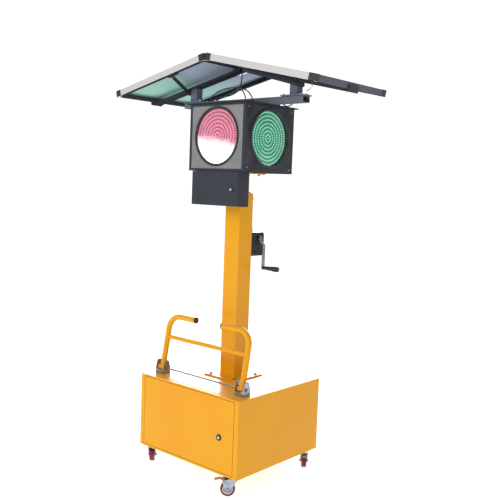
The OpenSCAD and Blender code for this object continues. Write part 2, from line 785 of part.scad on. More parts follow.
module dome_lens() {
    rim = lens_r - 0.2;
    steps = 10;
    thickness = 4;
    outside = [for (i = [0 : steps]) [rim * i / steps, dome_height(rim * i / steps) - 5]];
    inside = [for (i = [steps : -1 : 0])
        [rim * i / steps, dome_height(rim * i / steps) - 5 - thickness]];
    rotate_extrude() polygon(concat(outside, inside));
}

module red_lenses() color([0.9, 0.25, 0.35]) on_lens([0, 2]) dome_lens();

module green_lenses() color([0.2, 0.7, 0.5]) on_lens([1, 3]) dome_lens();

module led_boards() color([0.1, 0.25, 0.2]) on_lens([0 : 3]) {
    translate([0, 0, -26]) cylinder(r = lens_r - 4, h = 3);
    span([-40, -25, -38], [40, 25, -26]);
}

module pan_head(r) {
    rotate([90, 0, 0]) cylinder(r1 = r, r2 = r * 0.7, h = 2.6, $fn = 24);
}

module head_screws() color([0.55, 0.55, 0.57]) {
    on_face([0 : 3]) for (sx = [-1, 1], sz = [-1, 1])
        translate([sx * (panel_half_w - 9), 0.8, panel_mid + sz * (panel_half_h - 9)]) pan_head(4.5);
    on_mast() translate([0, 0, head_z - plate_t]) four_corners(plate_bolt, plate_bolt) mirror([0, 0, 1])
        hex_head(8.5, 7);
    on_mast() both_sides() translate([post_x, 0, arm_z + arm_h + post_plate_t])
        four_corners(55, 32) hex_head(5.5, 4.5);
}

module head_cover() color(black_paint) on_mast() {
    half = head_w / 2 + cover_lip;
    span([-half, -half, cover_z], [half, half, cover_z + cover_t]);
    difference() {
        inner = head_w / 2 - head_wall - 1;
        span([-inner, -inner, cover_z - 6], [inner, inner, cover_z]);
        span([3 - inner, 3 - inner, cover_z - 7], [inner - 3, inner - 3, cover_z + 1]);
    }
}

// ---- Control box under the head ----

hinge_r = 4;
hinge_gap = 0.5;
hinge_x = -control_x - hinge_r - hinge_gap;

module control_hinges() {
    for (z = [control_z + 35, control_z + control_h - 35]) translate([hinge_x, control_seam, z])
        children();
}

module control_box() color(black_paint) {
    difference() {
        span([-control_x, control_seam, control_z], [control_x, control_back, head_z]);
        span([2 - control_x, control_seam - 1, control_z + 2],
            [control_x - 2, control_back - 2, head_z - 2]);
    }
    control_hinges() {
        translate([0, 0, -14]) cylinder(r = hinge_r, h = 14 - slack);
        cylinder(r = 1.9, h = 28, center = true);
        span([0, 0.5, -14], [hinge_r + hinge_gap, 10, -slack]);
    }
}

module control_door() color(black_paint) {
    gap = 1;
    difference() {
        union() {
            span([-control_x, control_y, control_z + gap], [control_x, control_seam - gap,
                head_z - 2]);
        }
        span([2 - control_x, control_y + 2, control_z + gap + 2],
            [control_x - 2, control_seam, head_z - 4]);
        translate([control_lock_x, 0, control_lock_z])
            rod_y(9 + run, control_y - 1, control_y + 10);
    }
    control_hinges() {
        difference() {
            union() {
                cylinder(r = hinge_r, h = 14);
                span([0, -10, 0], [hinge_r + hinge_gap, -1, 14]);
            }
            translate([0, 0, -1]) cylinder(r = 1.9 + run, h = 16);
        }
    }
}

module control_lock() color([0.7, 0.7, 0.72])
    translate([control_lock_x, control_y - slack, control_lock_z]) cam_lock(9, 18, 40);

module control_board() color([0.1, 0.35, 0.2]) {
    span([-140, control_back - 12, control_z + 25], [50, control_back - 10, head_z - 25]);
    span([-105, control_back - 30, control_z + 60], [-25, control_back - 12, head_z - 60]);
    for (x = [70, 105, 140]) span([x, control_back - 30, control_z + 40],
        [x + 26, control_back - 2, control_z + 80]);
    for (x = [-100, 40], z = [control_z + 40, head_z - 40]) translate([x, 0, z])
        rod_y(3, control_back - 10, control_back - 2);
}

// ---- Arm, posts and solar panels ----

module cross_arm() color([0.25, 0.26, 0.3]) on_mast() difference() {
    span([-arm_half, -arm_w / 2, arm_z], [arm_half, arm_w / 2, arm_z + arm_h]);
    span([-arm_half - 1, 3 - arm_w / 2, arm_z + 3],
        [arm_half + 1, arm_w / 2 - 3, arm_z + arm_h - 3]);
}

module panel_posts() color(black_paint) on_mast() both_sides() {
    translate([post_x, 0, post_z - post_plate_t])
        span([-75, -45, 0], [75, 45, post_plate_t]);
    translate([post_x, 0, 0]) difference() {
        square_tube(post_side, 3, post_z, post_z + 120);
        translate([0, 0, rail_under(post_x)]) rotate([0, panel_tilt, 0])
            span([-80, -80, 0], [80, 80, 200]);
    }
}

// Places children on both panels: x runs down the slope from the ridge, z is the panel's normal
module on_panels() {
    both_sides() translate([panel_gap / 2, mast_y, ridge_z]) rotate([0, panel_tilt, 0]) children();
}

brace_foot_x = 272;
brace_end_x = 418;

module support_rails() color(black_paint) {
    on_panels() {
        difference() {
            span([10, -rail_w / 2, -panel_t - rail_t], [panel_len + 8, rail_w / 2, -panel_t]);
            span([9, 3 - rail_w / 2, -panel_t - rail_t + 3],
                [panel_len + 9, rail_w / 2 - 3, -panel_t - 3]);
        }
        span([brace_foot_x - 38, 4 - panel_w / 2, -panel_t - 5],
            [brace_foot_x + 38, 34 - panel_w / 2, -panel_t]);
        // The end stop, hooked up over the frame's low edge
        span([panel_len + 1.5, -42, -panel_t - rail_t], [panel_len + 12, 42, -14]);
    }
    both_sides() {
        low = rail_under(brace_end_x);
        bar([brace_foot_x - 8, mast_y + 22 - panel_w / 2, rail_under(brace_foot_x - 8) + 2],
            [brace_end_x, mast_y - 18, low - 13], 10);
        span([brace_end_x - 12, mast_y - 26, low - 23], [brace_end_x + 12, mast_y, low + 4]);
    }
}

module panel_frames() color([0.85, 0.85, 0.83]) on_panels() {
    half = panel_w / 2;
    wall = 2.5;
    difference() {
        span([0, -half, -panel_t], [panel_len, half, 0]);
        span([wall, wall - half, 2 - panel_t], [panel_len - wall, half - wall, -2]);
        span([11, 11 - half, -panel_t / 2], [panel_len - 11, half - 11, 1]);
        span([28, 28 - half, -panel_t - 1], [panel_len - 28, half - 28, -panel_t / 2]);
    }
}

module solar_laminates() color([0.1, 0.14, 0.3]) on_panels()
    span([3, 3 - panel_w / 2, -7], [panel_len - 3, panel_w / 2 - 3, -2]);

// Black plastic caps wrap the outside of each frame corner
module frame_corners() color([0.1, 0.1, 0.11]) on_panels() {
    proud = 1.2;
    reach = 37;
    half = panel_w / 2;
    for (sx = [0, 1], sy = [0, 1])
        translate([sx * panel_len, sy * 2 * half - half, 0]) mirror([sx, 0, 0])
            mirror([0, sy, 0]) difference() {
                span([-proud, -proud, -panel_t - proud], [reach, reach, proud]);
                span([0, 0, -panel_t], [reach + 1, reach + 1, 0]);
                span([12, 12, -1], [reach + 1, reach + 1, 5]);
                span([12, 12, -panel_t - 5], [reach + 1, reach + 1, 1 - panel_t]);
            }
}

module junction_boxes() color([0.08, 0.08, 0.09]) on_panels()
    span([32, 36, -27], [122, 106, -7]);

module panel_leads() color([0.07, 0.07, 0.08]) {
    swept_lead(left_lead, lead_r);
    swept_lead(loop_lead, lead_r);
    swept_lead(right_lead, lead_r);
}

module gland() {
    cylinder(r = 11, h = 6, $fn = 6);
    translate([0, 0, 6]) cylinder(r = 8.5, h = 8);
}

module cable_glands() color([0.07, 0.07, 0.08]) {
    for (p = [left_lead[len(left_lead) - 1], loop_lead[0], loop_lead[len(loop_lead) - 1],
            right_lead[len(right_lead) - 1]])
        translate([p[0], p[1], arm_z]) gland();
}

cabinet_shell();
cabinet_door();
cabinet_lock();
door_pivots();
batteries();
caster_plates();
fork(front_right);  // front_right_fork
wheel(front_right);  // front_right_wheel
pedal(front_right);  // front_right_pedal
fork(front_left);  // front_left_fork
wheel(front_left);  // front_left_wheel
pedal(front_left);  // front_left_pedal
fork(back_right);  // back_right_fork
wheel(back_right);  // back_right_wheel
pedal(back_right);  // back_right_pedal
fork(back_left);  // back_left_fork
wheel(back_left);  // back_left_wheel
pedal(back_left);  // back_left_pedal
handle_brackets();
handle_rod();
handle_frame();
handle_caps();
mast_foot();
mast_bolts();
mast_outer();
mast_guide();
pulley_bracket();
rope_pulley();
lift_rope();
inner_rope();
winch_frame();
winch_cover();
winch_drum();
crank_shaft();
crank_arm();
crank_grip();
mast_inner();
slide_pads();
head_plate();
head_housing();
head_cover();
lamp_panels();
lens_rings();
red_lenses();
green_lenses();
led_boards();
head_screws();
control_box();
control_door();
control_lock();
control_board();
cross_arm();
panel_posts();
support_rails();
panel_frames();
solar_laminates();
frame_corners();
junction_boxes();
panel_leads();
cable_glands();
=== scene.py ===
import json
import math

import bmesh
import bpy
from mathutils import Matrix, Vector


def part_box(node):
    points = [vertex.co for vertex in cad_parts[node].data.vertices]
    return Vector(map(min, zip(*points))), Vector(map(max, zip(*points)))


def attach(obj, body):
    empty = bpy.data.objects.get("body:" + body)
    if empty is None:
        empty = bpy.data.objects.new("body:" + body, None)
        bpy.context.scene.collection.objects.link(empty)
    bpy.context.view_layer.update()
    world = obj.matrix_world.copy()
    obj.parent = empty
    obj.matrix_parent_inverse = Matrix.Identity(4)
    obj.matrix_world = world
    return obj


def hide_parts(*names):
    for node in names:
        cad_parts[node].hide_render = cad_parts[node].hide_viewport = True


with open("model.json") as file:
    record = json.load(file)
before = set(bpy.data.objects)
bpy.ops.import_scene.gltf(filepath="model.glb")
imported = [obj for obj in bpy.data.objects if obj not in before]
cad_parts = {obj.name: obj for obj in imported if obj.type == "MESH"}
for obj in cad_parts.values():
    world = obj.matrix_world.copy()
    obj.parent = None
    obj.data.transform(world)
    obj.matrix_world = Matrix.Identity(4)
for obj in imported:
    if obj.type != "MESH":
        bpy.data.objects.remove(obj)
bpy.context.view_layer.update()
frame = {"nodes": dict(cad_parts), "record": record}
NODES = frame["nodes"]
JOINTS = {joint["name"]: joint for joint in frame["record"]["behaviour"]["joints"]}

# ---- Camera, light and floor ----

VIEW_AZIMUTH = 40.96
VIEW_PITCH = -5.04
VIEW_ROLL = 2.17
VIEW_LENS = 51.98
VIEW_PLACE = (2.766, -3.059, 1.628)


def add_camera():
    data = bpy.data.cameras.new("camera")
    data.lens = VIEW_LENS
    data.sensor_width = 36
    camera = bpy.data.objects.new("camera", data)
    turn = (Matrix.Rotation(math.radians(VIEW_AZIMUTH), 4, "Z")
            @ Matrix.Rotation(math.radians(90 + VIEW_PITCH), 4, "X")
            @ Matrix.Rotation(math.radians(VIEW_ROLL), 4, "Z"))
    camera.matrix_world = Matrix.Translation(VIEW_PLACE) @ turn
    bpy.context.scene.collection.objects.link(camera)
    bpy.context.scene.camera = camera


def add_area_light(name, place, target, size, power):
    """A rectangular light aimed at target and hidden from the camera."""
    data = bpy.data.lights.new(name, "AREA")
    data.shape = "RECTANGLE"
    data.size, data.size_y = size
    data.energy = power
    light = bpy.data.objects.new(name, data)
    light.location = place
    light.rotation_euler = (Vector(target) - Vector(place)).to_track_quat("-Z", "Y").to_euler()
    light.visible_camera = False
    bpy.context.scene.collection.objects.link(light)
    return light


def add_world():
    """A pale studio, brighter on the left and behind than on the right."""
    world = bpy.data.worlds.new("studio")
    world.use_nodes = True
    tree = world.node_tree
    place = tree.nodes.new("ShaderNodeTexCoord")
    along = tree.nodes.new("ShaderNodeVectorMath")
    along.operation = "DOT_PRODUCT"
    along.inputs[1].default_value = (-0.75, 0.66, 0)
    reach = tree.nodes.new("ShaderNodeMapRange")
    reach.inputs["From Min"].default_value = 0.0
    reach.inputs["To Min"].default_value = 0.42
    reach.inputs["To Max"].default_value = 1.1
    tree.links.new(place.outputs["Generated"], along.inputs[0])
    tree.links.new(along.outputs["Value"], reach.inputs["Value"])
    tree.links.new(reach.outputs["Result"], tree.nodes["Background"].inputs["Strength"])
    tree.nodes["Background"].inputs["Color"].default_value = (1, 1, 1, 1)
    bpy.context.scene.world = world


# ---- Node graphs ----

class Paint:
    """A Principled material with short helpers for its procedural nodes."""

    def __init__(self, name, **sockets):
        self.material = bpy.data.materials.new(name)
        self.material.use_nodes = True
        self.tree = self.material.node_tree
        self.shader = self.tree.nodes["Principled BSDF"]
        for key, value in sockets.items():
            self.shader.inputs[key.replace("_", " ")].default_value = value
        self.place = self.tree.nodes.new("ShaderNodeTexCoord").outputs["Object"]
        self.geometry = self.tree.nodes.new("ShaderNodeNewGeometry")

    def node(self, kind, **inputs):
        node = self.tree.nodes.new("ShaderNode" + kind)
        for key, value in inputs.items():
            self.feed(node.inputs[key.replace("_", " ")], value)
        return node

    def feed(self, socket, value):
        if isinstance(value, bpy.types.NodeSocket):
            self.tree.links.new(value, socket)
        elif isinstance(value, (tuple, list)) and len(value) == 3 and socket.type == "RGBA":
            socket.default_value = (*value, 1)
        else:
            socket.default_value = value

    def noise(self, scale, detail=3, roughness=0.5, place=None):
        node = self.node("TexNoise", Vector=place or self.place, Scale=scale, Detail=detail,
                         Roughness=roughness)
        return node.outputs["Fac"]

    def math(self, operation, a, b=0.0, c=0.0):
        node = self.tree.nodes.new("ShaderNodeMath")
        node.operation = operation
        for socket, value in zip(node.inputs, (a, b, c)):
            self.feed(socket, value)
        return node.outputs[0]

    def step(self, value, low, high, to_low=0.0, to_high=1.0):
        node = self.node("MapRange", Value=value)
        for key, bound in zip(("From Min", "From Max", "To Min", "To Max"),
                              (low, high, to_low, to_high)):
            node.inputs[key].default_value = bound
        return node.outputs["Result"]

    def vector(self, operation, a, b=None):
        node = self.tree.nodes.new("ShaderNodeVectorMath")
        node.operation = operation
        self.feed(node.inputs[0], a)
        if b is not None:
            self.feed(node.inputs[1], b)
        return node.outputs["Value" if operation in ("DOT_PRODUCT", "LENGTH") else "Vector"]

    def split(self, vector):
        return self.node("SeparateXYZ", Vector=vector).outputs

    def mix(self, fac, a, b):
        node = self.tree.nodes.new("ShaderNodeMix")
        node.data_type = "RGBA"
        self.feed(node.inputs["Factor"], fac)
        self.feed(node.inputs[6], a)
        self.feed(node.inputs[7], b)
        return node.outputs[2]

    def bump(self, height, strength, distance, normal=None):
        node = self.node("Bump", Height=height, Strength=strength, Distance=distance)
        if normal is not None:
            self.feed(node.inputs["Normal"], normal)
        return node.outputs["Normal"]

    def edge(self, radius):
        """1 near a convex or concave edge of the mesh, 0 on its flats."""
        rounded = self.node("Bevel", Radius=radius)
        rounded.samples = 4
        close = self.vector("DOT_PRODUCT", rounded.outputs["Normal"],
                            self.geometry.outputs["Normal"])
        return self.step(close, 0.995, 0.86)

    def colour(self, value):
        self.feed(self.shader.inputs["Base Color"], value)

    def roughness(self, value):
        self.feed(self.shader.inputs["Roughness"], value)

    def normal(self, value):
        self.feed(self.shader.inputs["Normal"], value)

    def glow(self, value, strength=1.0):
        self.feed(self.shader.inputs["Emission Color"], value)
        self.feed(self.shader.inputs["Emission Strength"], strength)


def powder_coat(name, base, deep, edge_tone, orange_peel, rough, coat):
    """Baked powder coat: slow tone drift, orange peel, and a thin film at the edges."""
    paint = Paint(name, Coat_Weight=coat, Coat_Roughness=0.06, Coat_IOR=1.4,
                  Specular_IOR_Level=0.12)
    drift = paint.noise(2.3, 2)
    grain = paint.noise(900, 2)
    tone = paint.mix(paint.step(drift, 0.35, 0.65), deep, base)
    tone = paint.mix(paint.step(grain, 0.3, 0.75, 0.0, 0.12), tone, edge_tone)
    tone = paint.mix(paint.math("MULTIPLY", paint.edge(0.0022),
                                paint.step(paint.noise(34, 4), 0.42, 0.66, 0.05, 0.6)),
                     tone, edge_tone)
    paint.colour(tone)
    paint.roughness(paint.step(paint.noise(7, 4), 0.3, 0.7, rough - 0.05, rough + 0.07))
    peel = paint.bump(paint.noise(230, 2), orange_peel, 0.0009)
    paint.normal(paint.bump(grain, 0.1, 0.0003, peel))
    return paint.material


def plated(name, base, stain, rough, streak=(1, 1, 1)):
    """Plated or bare metal with fine streaks, stains and dulled edges."""
    paint = Paint(name, Metallic=1.0)
    drawn = paint.vector("MULTIPLY", paint.place, streak)
    streaks = paint.noise(420, 3, 0.6, drawn)
    stains = paint.noise(38, 4, 0.6)
    tone = paint.mix(paint.step(stains, 0.4, 0.7), base, stain)
    tone = paint.mix(paint.step(streaks, 0.3, 0.75, 0.0, 0.35), tone, stain)
    paint.colour(tone)
    paint.roughness(paint.step(stains, 0.3, 0.7, rough - 0.06, rough + 0.1))
    paint.normal(paint.bump(streaks, 0.12, 0.0003))
    return paint.material


def moulded(name, base, worn, rough, grain=700, strength=0.15):
    """Moulded plastic or rubber with a fine spark-eroded grain."""
    paint = Paint(name)
    patches = paint.noise(22, 3)
    texture = paint.noise(grain, 2, 0.6)
    tone = paint.mix(paint.step(patches, 0.35, 0.7), base, worn)
    tone = paint.mix(paint.math("MULTIPLY", paint.edge(0.0012), 0.4), tone, worn)
    paint.colour(tone)
    paint.roughness(paint.step(texture, 0.3, 0.7, rough - 0.06, rough + 0.08))
    paint.normal(paint.bump(texture, strength, 0.0004))
    return paint.material


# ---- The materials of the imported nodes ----

def axle_of(joint):
    """A joint's place and the direction of its axis."""
    return Vector(JOINTS[joint]["pos_m"]), Vector(JOINTS[joint]["axis"]).normalized()


def orange_coat():
    return powder_coat("orange_paint", (0.85, 0.385, 0.008), (0.83, 0.35, 0.006),
                       (0.90, 0.47, 0.045), 0.035, 0.4, 0.28)


def head_coat():
    """Black paint; the two faces that carry the red lamps are painted grey, a painted reflection
    of the front light.
    """
    paint = Paint("lamp_panel_paint")
    across = paint.split(paint.place)[0]
    side_without_painted_reflection = paint.step(paint.math("ABSOLUTE", across), 0.195, 0.2)
    grain = paint.noise(1100, 2, 0.6)
    # Painted reflection: the front and back faces get a grey tone that stands in for reflected
    # light; the green-lamp sides stay black.
    plate = paint.mix(side_without_painted_reflection, (0.235, 0.235, 0.235), (0.007, 0.0075, 0.015))
    plate = paint.mix(paint.step(paint.noise(9, 4), 0.35, 0.7, 0.0, 0.35), plate,
                      (0.10, 0.102, 0.112))
    plate = paint.mix(paint.math("MULTIPLY", paint.edge(0.0015), 0.5), plate, (0.3, 0.3, 0.32))
    paint.colour(plate)
    paint.roughness(paint.step(grain, 0.3, 0.7, 0.34, 0.5))
    paint.normal(paint.bump(grain, 0.16, 0.0005))
    return paint.material


def dark_coat(name, base, deep, edge_tone, rough=0.42):
    """Fine-texture dark powder coat, rubbed lighter along its edges, with painted shade on its
    downward faces.
    """
    paint = Paint(name)
    grain = paint.noise(1000, 2, 0.6)
    tone = paint.mix(paint.step(paint.noise(6, 4), 0.35, 0.7), base, deep)
    tone = paint.mix(paint.step(grain, 0.45, 0.8, 0.0, 0.3), tone, edge_tone)
    tone = paint.mix(paint.math("MULTIPLY", paint.edge(0.0016), 0.55), tone, edge_tone)
    paint.colour(tone)
    # Painted shade: downward faces lose their specular, so undersides read darker.
    down = paint.split(paint.geometry.outputs["Normal"])[2]
    paint.feed(paint.shader.inputs["Specular IOR Level"], paint.step(down, -0.5, -0.2, 0.0, 0.3))
    paint.roughness(paint.step(grain, 0.3, 0.7, rough - 0.07, rough + 0.1))
    paint.normal(paint.bump(grain, 0.2, 0.0005))
    return paint.material


def anodised():
    """Pale anodised frame with painted shade: near-black on its inner and downward faces, and dark
    on the end rails at the low edges.
    """
    paint = Paint("anodised_frame")
    place = paint.split(paint.place)
    out = paint.math("ABSOLUTE", place[0])
    # Painted shade: the end rails at the low edges get a dark tone that stands in for their
    # shadow.
    end_rail_painted_shade = paint.step(out, EDGE_X - 0.0125, EDGE_X - 0.0115)
    drawn = paint.vector("MULTIPLY", paint.place, (0.08, 0.08, 6))
    lines = paint.noise(260, 3, 0.6, drawn)
    pale = paint.mix(paint.step(lines, 0.3, 0.7), (0.66, 0.655, 0.63), (0.60, 0.60, 0.585))
    dark = paint.mix(paint.step(lines, 0.3, 0.7), (0.17, 0.155, 0.19), (0.11, 0.10, 0.13))
    # Painted shade: faces that are neither outer nor upward, and every downward face, are painted
    # near-black; only the lit faces keep the pale tone, metallic and specular.
    side = paint.math("ABSOLUTE", paint.math("SUBTRACT", place[1], PANEL_MID_Y))
    outer = paint.step(side, PANEL_HALF_Y - 0.0025, PANEL_HALF_Y - 0.0015)
    above = paint.step(paint.split(paint.geometry.outputs["Normal"])[2], 0.5, 0.7)
    shaded = paint.math("SUBTRACT", 1.0, paint.math("MAXIMUM", outer, above))
    under = paint.step(paint.split(paint.geometry.outputs["Normal"])[2], -0.6, -0.8)
    pale = paint.mix(paint.math("MAXIMUM", shaded, under), pale, (0.035, 0.038, 0.055))
    paint.colour(paint.mix(end_rail_painted_shade, pale, dark))
    lit = paint.math("SUBTRACT", 1.0, paint.math("MAXIMUM", shaded, under))
    paint.feed(paint.shader.inputs["Metallic"], paint.math("MULTIPLY", lit, 0.25))
    paint.feed(paint.shader.inputs["Specular IOR Level"], paint.math("MULTIPLY", lit, 0.3))
    paint.roughness(paint.step(lines, 0.2, 0.8, 0.3, 0.42))
    paint.normal(paint.bump(lines, 0.08, 0.0003))
    return paint.material


CELL_PITCH = 0.1215
SLOPE_COS = 0.976
SLOPE_START_X = 0.017


def solar_laminate():
    """Monocrystalline cells with fingers and busbars above; below, a back sheet painted blue-grey
    to mint as a painted reflection.
    """
    paint = Paint("solar_laminate", Coat_Roughness=0.03, Coat_IOR=1.5)
    place = paint.split(paint.place)
    slope = paint.math("DIVIDE", paint.math("SUBTRACT", paint.math("ABSOLUTE", place[0]),
                                          SLOPE_START_X), CELL_PITCH * SLOPE_COS)
    width = paint.math("DIVIDE", paint.math("SUBTRACT", place[1], PANEL_MID_Y - CELL_PITCH * 2.5),
                       CELL_PITCH)
    gap = None
    for along in (slope, width):
        near = paint.math("ABSOLUTE", paint.math("SUBTRACT", paint.math("FRACT", along), 0.5))
        edge = paint.step(near, 0.474, 0.482)
        gap = edge if gap is None else paint.math("MAXIMUM", gap, edge)
    busbar = paint.math("ABSOLUTE", paint.math(
        "SUBTRACT", paint.math("FRACT", paint.math("MULTIPLY", width, 4)), 0.5))
    busbar = paint.step(busbar, 0.03, 0.02)
    finger = paint.math("ABSOLUTE", paint.math(
        "SUBTRACT", paint.math("FRACT", paint.math("MULTIPLY", slope, 42)), 0.5))
    finger = paint.step(finger, 0.12, 0.06, 0.0, 0.35)
    drift = paint.noise(5, 3)
    cell = paint.mix(paint.step(drift, 0.3, 0.7), (0.010, 0.020, 0.060), (0.016, 0.032, 0.085))
    cell = paint.mix(finger, cell, (0.10, 0.12, 0.20))
    cell = paint.mix(busbar, cell, (0.55, 0.56, 0.58))
    cell = paint.mix(gap, cell, (0.62, 0.66, 0.68))
    # Painted reflection: the back sheet is painted blue-grey, turning mint towards the low edges,
    # in place of the light it reflects.
    mint_reflection_mask = paint.step(paint.math("ADD", paint.math("ABSOLUTE", place[0]),
                                     paint.math("MULTIPLY", drift, 0.22)), 0.34, 0.66)
    sheet = paint.mix(mint_reflection_mask, (0.36, 0.42, 0.55), (0.29, 0.58, 0.48))
    sheet = paint.mix(paint.step(paint.noise(3.2, 4), 0.4, 0.7, 0.0, 0.3), sheet,
                      (0.48, 0.56, 0.64))
    sheet = paint.mix(paint.math("MULTIPLY", gap, 0.14), sheet, (0.5, 0.56, 0.6))
    under = paint.step(paint.split(paint.geometry.outputs["Normal"])[2], 0.1, -0.1)
    paint.colour(paint.mix(under, cell, sheet))
    paint.feed(paint.shader.inputs["Coat Weight"], paint.step(under, 0, 1, 0.4, 0.0))
    paint.feed(paint.shader.inputs["Specular IOR Level"], paint.step(under, 0, 1, 0.3, 0.0))
    paint.roughness(paint.step(drift, 0.3, 0.7, 0.3, 0.42))
    paint.normal(paint.bump(paint.noise(180, 2), 0.03, 0.0004))
    return paint.material


def rope_strand(name):
    """Galvanised wire rope: strands laid at an angle round the rope."""
    paint = Paint(name, Metallic=1.0)
    place = paint.split(paint.place)
    lay = paint.math("SINE", paint.math("ADD", paint.math("MULTIPLY", place[2], 1900),
                                        paint.math("MULTIPLY", place[0], 1500)))
    strand = paint.step(lay, -1.0, 1.0)
    paint.colour(paint.mix(strand, (0.16, 0.16, 0.165), (0.58, 0.58, 0.59)))
    paint.roughness(paint.step(paint.noise(300), 0.3, 0.7, 0.3, 0.45))
    paint.normal(paint.bump(strand, 0.6, 0.0006))
    return paint.material


def circuit_material():
    """Green board with a grid of paler tracks."""
    paint = Paint("circuit_board")
    tracks = paint.tree.nodes.new("ShaderNodeTexBrick")
    tracks.inputs["Scale"].default_value = 90
    tracks.inputs["Mortar Size"].default_value = 0.03
    for key, tone in (("Color1", (0.02, 0.14, 0.06, 1)), ("Color2", (0.025, 0.18, 0.075, 1)),
                      ("Mortar", (0.20, 0.42, 0.16, 1))):
        tracks.inputs[key].default_value = tone
    paint.tree.links.new(paint.place, tracks.inputs["Vector"])
    paint.colour(tracks.outputs["Color"])
    paint.roughness(paint.step(paint.noise(60), 0.3, 0.7, 0.3, 0.5))
    paint.normal(paint.bump(tracks.outputs["Fac"], 0.3, 0.0003))
    return paint.material


PANELS_LOW, PANELS_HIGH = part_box("panel_frames")
EDGE_X = PANELS_HIGH[0]
PANEL_MID_Y = (PANELS_LOW[1] + PANELS_HIGH[1]) / 2
PANEL_HALF_Y = (PANELS_HIGH[1] - PANELS_LOW[1]) / 2

MATERIALS = {
    "orange_paint": orange_coat(),
    "black_paint": dark_coat("black_paint", (0.030, 0.033, 0.047), (0.022, 0.024, 0.036),
                             (0.13, 0.135, 0.17)),
    "winch_black": dark_coat("winch_black", (0.006, 0.006, 0.008), (0.010, 0.010, 0.013),
                             (0.08, 0.085, 0.10), 0.3),
    "arm_grey": dark_coat("arm_grey", (0.145, 0.158, 0.20), (0.105, 0.115, 0.15),
                          (0.24, 0.27, 0.30)),
    "zinc": plated("zinc_plate", (0.47, 0.51, 0.58), (0.25, 0.28, 0.36), 0.36),
    "steel": plated("drawn_steel", (0.36, 0.365, 0.39), (0.20, 0.205, 0.23), 0.34, (1, 1, 0.1)),
    "aluminium": anodised(),
    "black_plastic": moulded("black_plastic", (0.012, 0.012, 0.014), (0.035, 0.035, 0.04), 0.42),
    "white_nylon": moulded("white_nylon", (0.80, 0.79, 0.72), (0.66, 0.64, 0.56), 0.4),
    "battery_plastic": moulded("battery_plastic", (0.02, 0.02, 0.023), (0.05, 0.05, 0.055), 0.5),
    "circuit_board": circuit_material(),
    "solar_glass": solar_laminate(),
    "grip_black": moulded("grip_rubber", (0.010, 0.010, 0.013), (0.035, 0.035, 0.042), 0.5,
                          500, 0.4),
    "cable_black": moulded("cable_sheath", (0.014, 0.014, 0.018), (0.045, 0.045, 0.05), 0.36),
    "wire_rope": rope_strand("wire_rope"),
    "lamp_panels": head_coat(),
    "support_rails": dark_coat("rail_paint", (0.030, 0.033, 0.045), (0.022, 0.024, 0.034),
                               (0.14, 0.15, 0.18), 0.5),
    "panel_posts": dark_coat("post_paint", (0.17, 0.19, 0.27), (0.125, 0.14, 0.21),
                             (0.22, 0.24, 0.30)),
    "tread": moulded("wheel_tread", (0.20, 0.008, 0.018), (0.12, 0.007, 0.012), 0.36, 420, 0.25),
    "hub": moulded("wheel_core", (0.60, 0.61, 0.63), (0.42, 0.43, 0.45), 0.4),
    # Painted shade: the keyway's black stands in for the shade in its slot.
    "keyway": moulded("keyway_painted_shade", (0.012, 0.012, 0.012), (0.03, 0.03, 0.03), 0.6),
    "chrome": plated("chrome", (0.82, 0.83, 0.85), (0.60, 0.62, 0.66), 0.12),
}


def soften(obj, width, segments=2, angle=32):
    """Joins doubled points, then bevels the edges that turn by more than angle."""
    weld = obj.modifiers.new("weld", "WELD")
    weld.merge_threshold = 0.00002
    bevel = obj.modifiers.new("bevel", "BEVEL")
    bevel.width = width
    bevel.segments = segments
    bevel.limit_method = "ANGLE"
    bevel.angle_limit = math.radians(angle)
    bevel.harden_normals = True
    bevel.use_clamp_overlap = True


SOFTENED = {
    "cabinet_shell": 0.0014, "cabinet_door": 0.0018, "mast_outer": 0.0045, "mast_inner": 0.003,
    "mast_foot": 0.0012, "head_plate": 0.0012, "head_housing": 0.0012, "head_cover": 0.0012,
    "lamp_panels": 0.0006, "control_box": 0.0014, "control_door": 0.0018, "cross_arm": 0.002,
    "panel_posts": 0.002, "support_rails": 0.0014, "winch_cover": 0.0022, "winch_frame": 0.0008,
    "crank_arm": 0.0012, "handle_brackets": 0.0009, "batteries": 0.004, "junction_boxes": 0.003,
    "frame_corners": 0.0012, "panel_frames": 0.0006, "pulley_bracket": 0.0008,
    "caster_plates": 0.0006, "cabinet_lock": 0.0008, "control_lock": 0.0005,
}
for caster in ("front_right", "front_left", "back_right", "back_left"):
    SOFTENED[caster + "_fork"] = 0.0005
    SOFTENED[caster + "_pedal"] = 0.0008


def dress_nodes():
    """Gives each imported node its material, and a bevel to the ones in SOFTENED."""
    for row in frame["record"]["subparts"]:
        name, slot = row["node"], row["material_slot"]
        obj = NODES[name]
        material = MATERIALS.get(name) or MATERIALS.get(slot)
        if material:
            for index in range(len(obj.data.materials)):
                obj.data.materials[index] = material
        if name in SOFTENED:
            soften(obj, SOFTENED[name])


# ---- Mesh helpers ----

def new_piece(name, mesh_builder, material, body, smooth=35):
    """A mesh object built by mesh_builder, riding on a body in a material slot."""
    mesh = bpy.data.meshes.new(name)
    built = bmesh.new()
    mesh_builder(built)
    bmesh.ops.recalc_face_normals(built, faces=built.faces)
    built.to_mesh(mesh)
    built.free()
    for face in mesh.polygons:
        face.use_smooth = True
    if smooth:
        mesh.set_sharp_from_angle(angle=math.radians(smooth))
    obj = bpy.data.objects.new(name, mesh)
    mesh.materials.append(material)
    bpy.context.scene.collection.objects.link(obj)
    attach(obj, body)
    return obj


